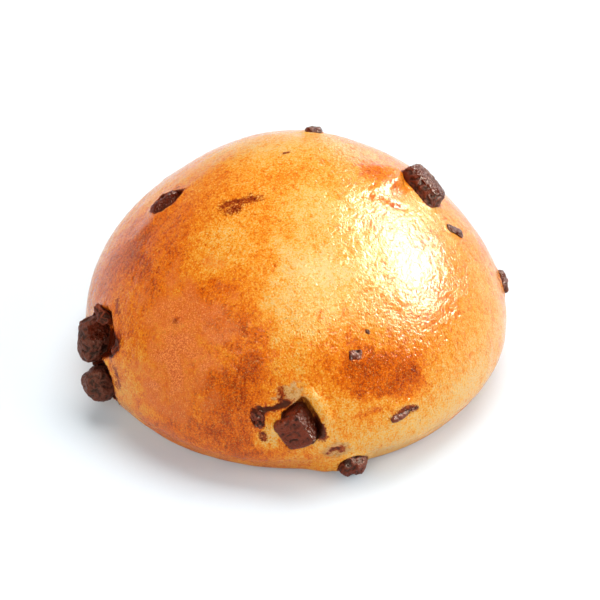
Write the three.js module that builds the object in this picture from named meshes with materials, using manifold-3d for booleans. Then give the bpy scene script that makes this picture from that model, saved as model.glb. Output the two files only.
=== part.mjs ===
// A round, egg-washed bun baked with chocolate chunks in the dough, standing on its flat base.
// Millimetres, +Z up. The origin is the centre of the base, and azimuth 0 is +X, turning towards +Y.
//
// The bun is one solid: a tall dome that tucks in below its belly to a flat base. Each chunk that
// breaks the crust is a solid of its own, a rounded block that sits in its own pocket in the bun.
import * as THREE from 'three';
import { RoundedBoxGeometry } from 'three/addons/geometries/RoundedBoxGeometry.js';
import { mergeVertices } from 'three/addons/utils/BufferGeometryUtils.js';
import Module from 'manifold-3d';

// ---- Driving dimensions ----------------------------------------------------------------------

const BUN = {
  radius: 55, // at the belly, the widest level
  height: 62,
  bellyHeight: 12.5,
  baseRadius: 45.5, // of the flat face it was baked on
  shoulderDrop: 0.053, // how far the shoulders fall short of an ellipse, as a share of the size
  tuckDrop: 0.08, // the same for the tuck between belly and base
  oval: 0.0084, // the outline seen from above is this much longer than it is round
  ovalAzimuth: 68,
  lean: [-0.3, 0.15], // where the crown stands over the base
};

const FIT_GAP = 0.3; // clear space between a chunk and its pocket

// The bun's mesh: segments round it, and rings over the dome, the tuck and the base.
const ROUND_SEGMENTS = 64;
const DOME_RINGS = 18;
const TUCK_RINGS = 6;

const CORNER_NUDGE = 0.07; // how far a block's corners stray, as a share of its size
const LARGE_CHUNK = 5.5; // blocks from this width up get a finer corner

// Chunks in the crust. azimuth and height say where the middle of the block meets the crust.
// size is its width round the bun, its length up the slope and its thickness through the crust,
// before spin turns it about the crust's normal and tilt turns it about its width and its length.
// proud is how far its outer face stands above the crust, and corner is the radius of its edges.
const CHUNKS = [
  // The front, where the crust tore away above the largest pocket.
  { name: 'chunk_front', azimuth: 270, height: 18, size: [7.8, 8.8, 8], corner: 1.1,
    spin: 27, tilt: [6, -12], proud: 2.6, hollow: { grow: [2.6, 3.4, 0], shift: [1.4, 1.8, 0.6] } },
  { name: 'crumb_front_left', azimuth: 260.6, height: 19.6, size: [3, 4.4, 3], corner: 0.8,
    spin: 14, tilt: [0, 0], proud: 0.3 },
  { name: 'chunk_front_rim', azimuth: 285.5, height: 4.2, size: [7, 6.8, 7], corner: 2.9,
    spin: 12, tilt: [0, 0], proud: 3.7 },
  { name: 'chip_front_flat', azimuth: 287.5, height: 33.3, size: [3.4, 2.7, 2.6], corner: 0.4,
    spin: -6, tilt: [0, 0], proud: 0.15 },
  { name: 'chunk_front_slit', azimuth: 299.6, height: 17, size: [8, 5.2, 5.2], corner: 0.8,
    spin: 8, tilt: [45, 0], proud: -0.5 },
  // The left side, where three pieces crowd together.
  { name: 'chunk_left_upper', azimuth: 198.8, height: 18.6, size: [9, 11.8, 9], corner: 3.8,
    spin: 6, tilt: [0, 0], proud: 3.9 },
  { name: 'chunk_left_lower', azimuth: 205, height: 9, size: [9.4, 9.4, 8.4], corner: 3.9,
    spin: 20, tilt: [0, 0], proud: 4.8 },
  { name: 'crumb_left_top', azimuth: 200, height: 26, size: [6, 2.6, 4], corner: 1.1,
    spin: -8, tilt: [0, 0], proud: 1.5 },
  { name: 'crumb_left_inner', azimuth: 211.9, height: 23.2, size: [2.4, 4.6, 3.2], corner: 0.9,
    spin: -8, tilt: [0, 0], proud: 0.4 },
  // Round the crown.
  { name: 'chunk_upper_left', azimuth: 181.5, height: 48.6, size: [5.6, 9, 5.2], corner: 1.8,
    spin: -4, tilt: [0, 16], proud: 0.5 },
  { name: 'chunk_upper_right', azimuth: 8.2, height: 49.8, size: [7.4, 12.2, 7.2], corner: 2.2,
    spin: -43, tilt: [0, 0], proud: 4.2 },
  { name: 'chunk_crown_back', azimuth: 76, height: 57.6, size: [4.6, 5.2, 4.8], corner: 1.2,
    spin: 20, tilt: [0, 0], proud: 1.5 },
  { name: 'chip_right_flake', azimuth: 355.6, height: 41.8, size: [2.2, 5.6, 3], corner: 0.5,
    spin: 25, tilt: [0, 0], proud: 0.4 },
  { name: 'chunk_right_side', azimuth: 6.5, height: 20, size: [5.6, 4.8, 5.2], corner: 1.5,
    spin: 10, tilt: [0, 0], proud: 1.7 },
  // The back.
  { name: 'chunk_back_right', azimuth: 48, height: 31, size: [8, 9, 7.4], corner: 1.6,
    spin: 28, tilt: [0, 14], proud: 2 },
  { name: 'chunk_back_low', azimuth: 88, height: 12, size: [9, 7.6, 7.4], corner: 3,
    spin: -15, tilt: [0, 0], proud: 2.6 },
  { name: 'chunk_back_high', azimuth: 116, height: 35, size: [7, 8.4, 6.6], corner: 1.8,
    spin: 40, tilt: [10, 0], proud: 1.2 },
  { name: 'chunk_back_left', azimuth: 146, height: 19, size: [8.6, 10, 8], corner: 1.4,
    spin: -24, tilt: [-12, 10], proud: 2.8 },
  { name: 'chunk_back_slit', azimuth: 105, height: 29, size: [7.4, 5, 5], corner: 0.8,
    spin: -20, tilt: [45, 0], proud: -0.4 },
  { name: 'chip_back_flake', azimuth: 140, height: 37, size: [3.2, 4.4, 3], corner: 0.6,
    spin: 30, tilt: [0, 0], proud: 0.4 },
];

// Chunks set in the base: where they lie, how large they are and how far they are turned. Their
// pockets open downwards.
const BASE_RECESS = 0.6; // they stop this far above the tray
const OPEN_BELOW = { grow: [0.6, 0.6, 0], shift: [0, 0, -1] };
const BASE_CHUNKS = [
  { name: 'chunk_base_right', at: [17, 13], size: [8, 9, 6], corner: 1.4, spin: 25,
    hollow: OPEN_BELOW },
  { name: 'chunk_base_left', at: [-20, -9], size: [7.4, 8.6, 6], corner: 1.2, spin: -35,
    hollow: OPEN_BELOW },
];

// ---- Materials -------------------------------------------------------------------------------

const MATERIALS = {
  crust: new THREE.MeshStandardMaterial({ color: 0xd98a2b, roughness: 0.35, metalness: 0 }),
  chocolate: new THREE.MeshStandardMaterial({ color: 0x4a2015, roughness: 0.45, metalness: 0 }),
};

// ---- The bun's skin --------------------------------------------------------------------------

const degrees = (angle) => THREE.MathUtils.degToRad(angle);

// A quarter of the outline, as [across, along] from 1, 0 at angle 0 to 0, 1 at a right angle.
// drop pulls its middle in from the ellipse.
function quarter(angle, drop) {
  const reach = 1 - drop * Math.sin(2 * angle) ** 2;
  return [Math.cos(angle) * reach, Math.sin(angle) * reach];
}

// A point of the dome's outline as [radius, height]. angle is a right angle at the crown.
function domeOutline(angle) {
  const [across, along] = quarter(angle, BUN.shoulderDrop);
  return [BUN.radius * across, BUN.bellyHeight + (BUN.height - BUN.bellyHeight) * along];
}

// A point of the tuck's outline as [radius, height]. angle is a right angle at the base.
function tuckOutline(angle) {
  const [across, along] = quarter(angle, BUN.tuckDrop);
  const width = BUN.radius - BUN.baseRadius;
  return [BUN.baseRadius + width * across, BUN.bellyHeight * (1 - along)];
}

// The place on the skin, or inside the bun, at a distance from the axis, an azimuth and a height.
function skinPlace(distance, azimuth, height) {
  const swell = 1 + BUN.oval * Math.cos(2 * (azimuth - degrees(BUN.ovalAzimuth)));
  const lean = height / BUN.height;
  return new THREE.Vector3(
    distance * swell * Math.cos(azimuth) + BUN.lean[0] * lean,
    distance * swell * Math.sin(azimuth) + BUN.lean[1] * lean,
    height,
  );
}

// The outline's distance from the axis at a height, by halving the angle between crown and base.
function outlineRadius(height) {
  const outline = height >= BUN.bellyHeight ? domeOutline : tuckOutline;
  const rising = height >= BUN.bellyHeight;
  let low = 0;
  let high = Math.PI / 2;
  for (let step = 0; step < 40; step++) {
    const middle = (low + high) / 2;
    const short = rising ? outline(middle)[1] < height : outline(middle)[1] > height;
    if (short) low = middle;
    else high = middle;
  }
  return outline(low)[0];
}

// The frame on the skin: X round the bun, Y up the slope, Z out of the crust.
function skinFrame(azimuthDegrees, height) {
  const azimuth = degrees(azimuthDegrees);
  const step = 0.05;
  const place = (turn, rise) =>
    skinPlace(outlineRadius(height + rise), azimuth + turn, height + rise);
  const round = place(step, 0).sub(place(-step, 0)).normalize();
  const up = place(0, step).sub(place(0, -step)).normalize();
  const out = new THREE.Vector3().crossVectors(round, up).normalize();
  up.crossVectors(out, round);
  return new THREE.Matrix4().makeBasis(round, up, out).setPosition(place(0, 0));
}

function bunGeometry() {
  const outline = [[0, BUN.height]];
  for (let i = 1; i <= DOME_RINGS; i++) {
    outline.push(domeOutline((Math.PI / 2) * (1 - i / DOME_RINGS)));
  }
  for (let i = 1; i <= TUCK_RINGS; i++) {
    outline.push(tuckOutline((Math.PI / 2) * (i / TUCK_RINGS)));
  }
  outline.push([0, 0]);
  const profile = outline.reverse().map(([r, z]) => new THREE.Vector2(r, z));
  const geometry = new THREE.LatheGeometry(profile, ROUND_SEGMENTS).rotateX(Math.PI / 2);
  const position = geometry.attributes.position;
  for (let i = 0; i < position.count; i++) {
    const [x, y, z] = [position.getX(i), position.getY(i), position.getZ(i)];
    const place = skinPlace(Math.hypot(x, y), Math.atan2(y, x), z);
    position.setXYZ(i, place.x, place.y, place.z);
  }
  return geometry;
}

// ---- Chunks ----------------------------------------------------------------------------------

// How far corner number `corner` of block number `block` strays along `axis`, from -1 to 1.
function stray(block, corner, axis) {
  const wave = Math.sin(block * 12.9898 + corner * 4.1414 + axis * 7.233) * 43.7585;
  return 2 * (wave - Math.floor(wave)) - 1;
}

// A rounded block whose corners stray from the square, grown by `gap` on every side.
function blockGeometry(size, corner, number, gap) {
  const [width, length, depth] = size.map((side) => side + 2 * gap);
  const steps = Math.max(...size) >= LARGE_CHUNK ? 2 : 1;
  const block = new RoundedBoxGeometry(width, length, depth, steps, corner + gap);
  const position = block.attributes.position;
  for (let i = 0; i < position.count; i++) {
    const at = [position.getX(i), position.getY(i), position.getZ(i)];
    const share = [at[0] / width + 0.5, at[1] / length + 0.5, at[2] / depth + 0.5];
    const moved = at.map((value, axis) => {
      let nudge = 0;
      for (let c = 0; c < 8; c++) {
        const weight = share.reduce((w, s, bit) => w * ((c >> bit) & 1 ? s : 1 - s), 1);
        nudge += weight * stray(number, c, axis);
      }
      return value + nudge * CORNER_NUDGE * size[axis];
    });
    position.setXYZ(i, ...moved);
  }
  return block;
}

// Where a crust chunk's block stands, as the matrix that takes it from its own frame to the bun's.
function chunkMatrix({ azimuth, height, size, spin, tilt, proud }) {
  const turn = new THREE.Matrix4()
    .makeRotationZ(degrees(spin))
    .multiply(new THREE.Matrix4().makeRotationY(degrees(tilt[1])))
    .multiply(new THREE.Matrix4().makeRotationX(degrees(tilt[0])));
  const sink = new THREE.Matrix4().makeTranslation(0, 0, proud - size[2] / 2);
  return skinFrame(azimuth, height).multiply(sink).multiply(turn);
}

function baseMatrix({ at, size, spin }) {
  return new THREE.Matrix4()
    .makeTranslation(at[0], at[1], BASE_RECESS + size[2] / 2)
    .multiply(new THREE.Matrix4().makeRotationZ(degrees(spin)));
}

// The space that a chunk takes in the bun, with more room where the crust tore away from it.
function pocketGeometries(chunk, number, matrix) {
  const pocket = blockGeometry(chunk.size, chunk.corner, number, FIT_GAP).applyMatrix4(matrix);
  if (!chunk.hollow) return [pocket];
  const { grow, shift } = chunk.hollow;
  const size = chunk.size.map((side, axis) => side + grow[axis]);
  const hollow = new RoundedBoxGeometry(...size, 2, chunk.corner + 1);
  return [pocket, hollow.translate(...shift).applyMatrix4(matrix)];
}

// ---- Solids ----------------------------------------------------------------------------------

const wasm = await Module();
wasm.setup();

function toSolid(geometry) {
  const bare = geometry.clone();
  bare.deleteAttribute('normal');
  bare.deleteAttribute('uv');
  const merged = mergeVertices(bare, 1e-4);
  return new wasm.Manifold(new wasm.Mesh({
    numProp: 3,
    vertProperties: merged.attributes.position.array,
    triVerts: new Uint32Array(merged.index.array),
  }));
}

function toGeometry(solid) {
  const mesh = solid.getMesh();
  const geometry = new THREE.BufferGeometry();
  geometry.setAttribute('position', new THREE.BufferAttribute(mesh.vertProperties, 3));
  geometry.setIndex(new THREE.BufferAttribute(mesh.triVerts, 1));
  geometry.computeVertexNormals();
  return geometry;
}

// ---- Assembly --------------------------------------------------------------------------------

const bun = new THREE.Group();
const placed = [
  ...CHUNKS.map((chunk) => ({ chunk, matrix: chunkMatrix(chunk) })),
  ...BASE_CHUNKS.map((chunk) => ({ chunk, matrix: baseMatrix(chunk) })),
];

let crust = toSolid(bunGeometry());
placed.forEach(({ chunk, matrix }, number) => {
  for (const pocket of pocketGeometries(chunk, number, matrix)) {
    crust = crust.subtract(toSolid(pocket));
  }
});
const crustMesh = new THREE.Mesh(toGeometry(crust), MATERIALS.crust);
crustMesh.name = 'bun';
bun.add(crustMesh);

placed.forEach(({ chunk, matrix }, number) => {
  const geometry = blockGeometry(chunk.size, chunk.corner, number, 0);
  const mesh = new THREE.Mesh(geometry, MATERIALS.chocolate);
  mesh.name = chunk.name;
  matrix.decompose(mesh.position, mesh.quaternion, mesh.scale);
  bun.add(mesh);
});

export default bun;
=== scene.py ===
"""Looks for a round, egg-washed bun with chocolate chunks that break through its crust.

The frame says where the bun and its chunks are. While a piece is shaped its lengths are in
millimetres, and its finished mesh is scaled to metres. A place on the crust is named by its
azimuth, in degrees from +X towards +Y, and its height above the base.
"""

import bisect
import logging
import math
from collections.abc import Iterator
from dataclasses import dataclass, field
from enum import Enum

import bmesh
import bpy
from mathutils import Matrix, Vector, geometry, kdtree, noise


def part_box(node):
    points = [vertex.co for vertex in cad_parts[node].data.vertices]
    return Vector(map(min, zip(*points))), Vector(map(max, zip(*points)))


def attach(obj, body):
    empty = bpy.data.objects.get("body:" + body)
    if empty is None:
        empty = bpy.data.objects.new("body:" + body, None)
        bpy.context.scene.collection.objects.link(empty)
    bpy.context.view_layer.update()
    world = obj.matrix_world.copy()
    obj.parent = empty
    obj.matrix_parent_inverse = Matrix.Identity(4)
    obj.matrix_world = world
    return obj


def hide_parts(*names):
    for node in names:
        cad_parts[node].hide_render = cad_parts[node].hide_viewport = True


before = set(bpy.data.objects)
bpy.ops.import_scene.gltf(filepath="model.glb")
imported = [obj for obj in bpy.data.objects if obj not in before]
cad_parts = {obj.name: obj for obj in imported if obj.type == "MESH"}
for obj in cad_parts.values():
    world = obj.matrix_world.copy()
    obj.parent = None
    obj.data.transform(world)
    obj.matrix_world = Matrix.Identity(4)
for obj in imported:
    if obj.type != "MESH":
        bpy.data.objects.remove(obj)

MM = 0.001
TOUCH = 1e-6  # how close counts as the same place
NOISE_SEED = 1  # without one, the noise that bends the chunks' wrinkles starts from the clock
LOG = logging.getLogger("bun")

Point = tuple[float, float]
Colour = tuple[float, float, float]


# ---- Numbers and distances -------------------------------------------------------------------


def smooth(low: float, high: float, value: float) -> float:
    """Gives 0 below low, 1 above high, and an S-shaped rise between them.

    Args:
        low: Where the rise starts.
        high: Where it ends.
        value: The value to look up.

    Returns:
        A share from 0 to 1.
    """
    share = min(1.0, max(0.0, (value - low) / (high - low)))
    return share * share * (3 - 2 * share)


def ridged(place: Vector) -> float:
    """Gives noise from 0 to 1 with sharp crests, as skin wrinkles have."""
    return 1 - abs(noise.noise(place)) * 2


def edge_distance(point: Point, outline: list[Point]) -> float:
    """Measures how far a point is from a closed outline.

    Args:
        point: The point.
        outline: The outline's corners in order.

    Returns:
        The distance, which is negative inside the outline.
    """
    x, y = point
    nearest = math.inf
    inside = False
    for (ax, ay), (bx, by) in zip(outline, outline[1:] + outline[:1]):
        ex, ey = bx - ax, by - ay
        share = ((x - ax) * ex + (y - ay) * ey) / (ex * ex + ey * ey)
        share = min(1.0, max(0.0, share))
        nearest = min(nearest, math.hypot(x - ax - share * ex, y - ay - share * ey))
        if (ay > y) != (by > y) and x < ax + (y - ay) / (by - ay) * ex:
            inside = not inside
    return -nearest if inside else nearest


def line_distance(point: Point, line: tuple[Point, ...]) -> tuple[float, float]:
    """Measures how far a point is from an open line.

    Args:
        point: The point.
        line: The line's points in order.

    Returns:
        The distance, positive on the line's left, and how far along the line the nearest
        place is, as a share of its pieces.
    """
    x, y = point
    best = (math.inf, 0.0, 1.0)
    for number, ((ax, ay), (bx, by)) in enumerate(zip(line, line[1:])):
        ex, ey = bx - ax, by - ay
        share = ((x - ax) * ex + (y - ay) * ey) / (ex * ex + ey * ey)
        share = min(1.0, max(0.0, share))
        distance = math.hypot(x - ax - share * ex, y - ay - share * ey)
        side = 1.0 if ex * (y - ay) - ey * (x - ax) >= 0 else -1.0
        if distance < best[0]:
            best = (distance, (number + share) / (len(line) - 1), side)
    return best[0] * best[2], best[1]


# ---- The skin --------------------------------------------------------------------------------


@dataclass
class Skin:
    """The bun's smooth outside: a dome on a belly, tucked in below it to a flat base."""

    radius: float
    height: float
    belly_share: float = 0.2016
    base_share: float = 0.8273
    shoulder_drop: float = 0.053
    tuck_drop: float = 0.08
    oval: float = 0.0084
    oval_azimuth: float = math.radians(68)
    lean: Point = (-0.3, 0.15)
    steps: int = 300
    outline: list[Point] = field(init=False)
    arcs: list[float] = field(init=False)

    def __post_init__(self) -> None:
        """Walks the outline from the crown to the rim of the base and measures it."""
        right = math.pi / 2
        dome = [self._dome(right * (1 - i / self.steps)) for i in range(self.steps + 1)]
        tuck = [self._tuck(right * i / self.steps) for i in range(1, self.steps + 1)]
        self.outline = dome + tuck
        self.arcs = [0.0]
        for (r0, z0), (r1, z1) in zip(self.outline, self.outline[1:]):
            self.arcs.append(self.arcs[-1] + math.hypot(r1 - r0, z1 - z0))

    @classmethod
    def of_node(cls, node: str) -> "Skin":
        """Sizes the skin from the bun's box in the frame.

        Args:
            node: The bun's node.

        Returns:
            The skin.
        """
        low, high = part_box(node)
        oval = 1 + cls.oval * math.cos(2 * cls.oval_azimuth)
        return cls(radius=(high.x - low.x) / 2 / MM / oval, height=high.z / MM)

    @staticmethod
    def _quarter(angle: float, drop: float) -> Point:
        """Gives a quarter oval whose middle is pulled in by drop."""
        reach = 1 - drop * math.sin(2 * angle) ** 2
        return math.cos(angle) * reach, math.sin(angle) * reach

    def _dome(self, angle: float) -> Point:
        """Gives the outline above the belly as (radius, height).

        Args:
            angle: From 0 at the belly to a right angle at the crown.

        Returns:
            The point.
        """
        belly = self.height * self.belly_share
        across, along = self._quarter(angle, self.shoulder_drop)
        return self.radius * across, belly + (self.height - belly) * along

    def _tuck(self, angle: float) -> Point:
        """Gives the outline below the belly as (radius, height).

        Args:
            angle: From 0 at the belly to a right angle at the base.

        Returns:
            The point.
        """
        base = self.radius * self.base_share
        across, along = self._quarter(angle, self.tuck_drop)
        return base + (self.radius - base) * across, self.height * self.belly_share * (1 - along)

    def at_arc(self, arc: float) -> Point:
        """Looks up the outline at a length from the crown, as (radius, height).

        Args:
            arc: Millimetres down the outline from the crown.

        Returns:
            The point.
        """
        index = min(max(bisect.bisect(self.arcs, arc), 1), len(self.arcs) - 1)
        low, high = self.arcs[index - 1], self.arcs[index]
        share = (arc - low) / (high - low)
        (r0, z0), (r1, z1) = self.outline[index - 1], self.outline[index]
        return r0 + (r1 - r0) * share, z0 + (z1 - z0) * share

    def arc_at(self, height: float) -> float:
        """Finds how far down the outline from the crown a height is.

        Args:
            height: Millimetres above the base.

        Returns:
            The length in millimetres.
        """
        index = bisect.bisect(self.outline, -height, key=lambda point: -point[1])
        index = min(max(index, 1), len(self.arcs) - 1)
        high, low = self.outline[index - 1][1], self.outline[index][1]
        share = min(1.0, max(0.0, (high - height) / (high - low)))
        return self.arcs[index - 1] + share * (self.arcs[index] - self.arcs[index - 1])

    def place(self, azimuth: float, radius: float, height: float) -> Vector:
        """Turns a distance from the axis and a height into a place, with the oval and lean.

        Args:
            azimuth: The angle from +X towards +Y, in radians.
            radius: Millimetres from the axis, before the oval swells it.
            height: Millimetres above the base.

        Returns:
            The place.
        """
        swell = radius * (1 + self.oval * math.cos(2 * (azimuth - self.oval_azimuth)))
        lean = height / self.height
        x = swell * math.cos(azimuth) + self.lean[0] * lean
        y = swell * math.sin(azimuth) + self.lean[1] * lean
        return Vector((x, y, height))

    def frame(self, azimuth: float, height: float) -> Matrix:
        """Gives the frame on the skin: X round the bun, Y up the slope, Z out of the crust.

        Args:
            azimuth: Degrees from +X towards +Y.
            height: Millimetres above the base.

        Returns:
            The frame, as the matrix that carries local places to the bun's.
        """
        turn, arc, step = math.radians(azimuth), self.arc_at(height), 0.05
        spot = self.place(turn, *self.at_arc(arc))
        round_bun = Vector((-math.sin(turn), math.cos(turn), 0))
        above = self.place(turn, *self.at_arc(max(arc - step, 0)))
        below = self.place(turn, *self.at_arc(arc + step))
        out = round_bun.cross(above - below).normalized()
        up = out.cross(round_bun).normalized()
        return frame_of(round_bun, up, out, spot)

    def from_cube(self, corner: Vector) -> Vector:
        """Carries a place on a cube of half-size 1 to the skin.

        The top face becomes the crown, the sides the flanks and the bottom face the base.

        Args:
            corner: The place on the cube.

        Returns:
            The place on the skin.
        """
        whole = math.radians(120)  # the angle that the top face and the sides share out
        u, w = math.tan(corner.x * math.pi / 4), math.tan(corner.y * math.pi / 4)
        azimuth = math.atan2(w, u)
        from_axis = math.hypot(u, w)
        to_edge = math.atan(from_axis / max(abs(u), abs(w), 1e-9))
        if corner.z > 1 - TOUCH:
            share = math.atan(from_axis) / whole
        elif corner.z < TOUCH - 1:
            base = self.radius * self.base_share
            return self.place(azimuth, base * math.atan(from_axis) / to_edge, 0)
        else:
            share = to_edge / whole
            share += (1 - share) * (1 - corner.z) / 2
        return self.place(azimuth, *self.at_arc(share * self.arcs[-1]))

    def flow(self, place: Vector) -> Vector:
        """Gives the place with its length from the crown as Z, for patterns that run downhill.

        Args:
            place: A place on or near the skin.

        Returns:
            The place. A pattern whose Z is squeezed stretches down the slopes.
        """
        arc = self.arc_at(place.z) if place.z > 0.01 else self.arcs[-1] + 1
        return Vector((place.x, place.y, arc))


def frame_of(x: Vector, y: Vector, z: Vector, place: Vector) -> Matrix:
    """Builds the matrix whose columns are three directions and a place.

    Args:
        x: The first direction.
        y: The second.
        z: The third.
        place: The place.

    Returns:
        The matrix.
    """
    matrix = Matrix((x, y, z)).transposed().to_4x4()
    matrix.translation = place
    return matrix


# ---- What is pressed into the crust, and painted on it ---------------------------------------


class Mark(Enum):
    """What the crust is painted with. Each mark is an attribute that the crust's finish reads."""

    BAKE = "bake"  # how far it browned, and also painted shade in creases and on shadowed low sides, and a painted highlight on a lip
    DUSK = "dusk"  # dull, pinkish brown crust
    PALE = "pale"  # dough that stayed light
    MELT_AND_SHADE = "melt"  # stained by melted chocolate, and painted shade in crevices and inside pockets
    TORN = "torn"  # open crumb with no crust
    DULL = "dull"  # crust that the egg wash missed


class Crust:
    """The bun's skin as a fine mesh, with what each of its points will be moved and painted by."""

    def __init__(self, skin: Skin, mesh: bmesh.types.BMesh) -> None:
        """Reads the smooth mesh.

        Args:
            skin: The skin that the mesh follows.
            mesh: The mesh.
        """
        self.skin = skin
        mesh.normal_update()
        mesh.verts.ensure_lookup_table()
        self.mesh = mesh
        self.places = [vert.co.copy() for vert in mesh.verts]
        self.normals = [vert.normal.copy() for vert in mesh.verts]
        self.shifts = [Vector() for _ in mesh.verts]
        self.sinks = [(0.0, Vector()) for _ in mesh.verts]
        self.marks = {mark: [0.0] * len(mesh.verts) for mark in Mark}
        self.tree = kdtree.KDTree(len(mesh.verts))
        for index, place in enumerate(self.places):
            self.tree.insert(place, index)
        self.tree.balance()

    def near(self, matrix: Matrix, reach: float) -> Iterator[tuple[int, Vector]]:
        """Finds the points near a frame's origin.

        Args:
            matrix: The frame.
            reach: How far to look.

        Yields:
            Each point's number, and its place in the frame.
        """
        inverse = matrix.inverted()
        for place, index, _ in self.tree.find_range(matrix.translation, reach):
            yield index, inverse @ place

    def oval(self, anchor: Point, size: Point, turn: float, reach: float) -> Iterator[tuple[int, float, float]]:
        """Finds the points in and round a turned oval.

        Args:
            anchor: The azimuth and height of its middle.
            size: Its half lengths round the bun and up the slope.
            turn: How far it is turned, in degrees.
            reach: How far to look, as a share of its longer half length.

        Yields:
            Each point's number, and its place across and along the oval as shares of its size.
        """
        cosine, sine = math.cos(math.radians(turn)), math.sin(math.radians(turn))
        for index, local in self.near(self.skin.frame(*anchor), reach * max(size)):
            across = (local.x * cosine + local.y * sine) / size[0]
            along = (local.y * cosine - local.x * sine) / size[1]
            yield index, across, along

    def lift(self, index: int, distance: float) -> None:
        """Moves a point out of the crust."""
        self.shifts[index] += self.normals[index] * distance

    def sink(self, index: int, direction: Vector, depth: float) -> None:
        """Sinks a point along a direction, unless it is sunk deeper already."""
        if depth > self.sinks[index][0]:
            self.sinks[index] = (depth, direction)

    def paint(self, index: int, mark: Mark, amount: float) -> None:
        """Adds an amount to one of a point's marks."""
        self.marks[mark][index] += amount

    def settle(self) -> None:
        """Moves every point by what was pressed into it, and stores the marks in the mesh."""
        layers = {mark: self.mesh.verts.layers.float.new(mark.value) for mark in Mark}
        flow = self.mesh.verts.layers.float_vector.new("flow")
        for index, vert in enumerate(self.mesh.verts):
            depth, direction = self.sinks[index]
            vert.co = self.places[index] + self.shifts[index] - direction * depth
            vert.co.z = max(vert.co.z, 0.0)
            vert[flow] = self.skin.flow(self.places[index])
            for mark, layer in layers.items():
                vert[layer] = self.marks[mark][index]


@dataclass(frozen=True)
class Swell:
    """A soft rise in the crust, or a dimple where rise is negative."""

    azimuth: float
    height: float
    rise: float
    size: Point
    turn: float = 0.0

    def press(self, crust: Crust) -> None:
        """Raises the crust.

        Args:
            crust: The crust.
        """
        for index, across, along in crust.oval((self.azimuth, self.height), self.size, self.turn, 2.4):
            crust.lift(index, self.rise * math.exp(-across * across - along * along))


@dataclass(frozen=True)
class Patch:
    """A soft-edged oval of one mark."""

    mark: Mark
    azimuth: float
    height: float
    amount: float
    size: Point
    turn: float = 0.0
    ragged: float = 0.3

    def press(self, crust: Crust) -> None:
        """Paints the oval.

        Args:
            crust: The crust.
        """
        for index, across, along in crust.oval((self.azimuth, self.height), self.size, self.turn, 2.0):
            rough = noise.noise(crust.places[index] * 2.4 / min(self.size)) * self.ragged
            share = smooth(1.35, 0.5, math.hypot(across, along) + rough)
            crust.paint(index, self.mark, self.amount * share)


@dataclass(frozen=True)
class Stroke:
    """A line drawn on the crust: a groove or a fold, and paint along it.

    The line is in millimetres round the bun and up the slope from its anchor.
    """

    azimuth: float
    height: float
    line: tuple[Point, ...]
    width: float
    depth: float = 0.0
    lip: float = 0.0  # the fold raised on the line's left
    mark: Mark | None = None
    amount: float = 1.0

    def press(self, crust: Crust) -> None:
        """Draws the line.

        Args:
            crust: The crust.
        """
        matrix = crust.skin.frame(self.azimuth, self.height)
        reach = max(math.hypot(*point) for point in self.line) + 3 * self.width
        for index, local in crust.near(matrix, reach):
            across, along = line_distance((local.x, local.y), self.line)
            ends = smooth(0, 0.2, along) * smooth(1, 0.8, along) * 0.8 + 0.2
            rough = noise.noise(crust.places[index] / self.width) * 0.35 * self.width
            groove = math.exp(-(((across + rough) / self.width) ** 2)) * ends
            fold = math.exp(-((across / self.width - 1.9) ** 2) * 0.7) * ends
            crust.lift(index, self.lip * fold - self.depth * groove)
            if self.mark:
                crust.paint(index, self.mark, self.amount * groove)


@dataclass(frozen=True)
class Hollow:
    """A pocket or a tear: the crust inside an outline is sunk and its edge stands up a little.

    The outline is in millimetres in the frame that is passed to press.
    """

    outline: tuple[Point, ...]
    depth: float
    wall: float = 0.9
    lip: float = 0.25
    lip_width: float = 1.1
    overhang: float = 0.0
    ragged: float = 0.25
    torn: float = 1.0
    # stain painted inside the outline: melted chocolate and painted shade in the pocket
    melt: float = 0.0

    def press(self, crust: Crust, matrix: Matrix) -> None:
        """Sinks the inside and raises the edge.

        Args:
            crust: The crust.
            matrix: The frame that the outline is drawn in.
        """
        outline = list(self.outline)
        middle = Vector((sum(x for x, _ in outline), sum(y for _, y in outline), 0)) / len(outline)
        out = matrix.to_3x3() @ Vector((0, 0, 1))
        reach = max(math.hypot(*point) for point in outline) + 3 * self.lip_width
        for index, local in crust.near(matrix, reach):
            place = crust.places[index]
            edge = edge_distance((local.x, local.y), outline)
            edge += self.ragged * (noise.noise(place / 1.3) + 0.5 * noise.noise(place / 0.5))
            if edge < 0:
                crust.sink(index, out, self.depth * smooth(0, self.wall, -edge))
            rim = math.exp(-((edge / self.lip_width) ** 2))
            crust.lift(index, self.lip * rim)
            if self.overhang and edge > 0:
                inward = matrix.to_3x3() @ (middle - Vector((local.x, local.y, 0))).normalized()
                crust.shifts[index] += inward * self.overhang * rim
            crust.paint(index, Mark.TORN, self.torn * smooth(0.15, -0.35, edge))
            # paints the pocket dark: stain and painted shade
            crust.paint(index, Mark.MELT_AND_SHADE, self.melt * smooth(0.7, -0.3, edge))


@dataclass(frozen=True)
class Tear:
    """A hollow at a place of its own, for crust that tore away from a chunk."""

    azimuth: float
    height: float
    hollow: Hollow

    def press(self, crust: Crust) -> None:
        """Sinks the tear."""
        self.hollow.press(crust, crust.skin.frame(self.azimuth, self.height))


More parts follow.
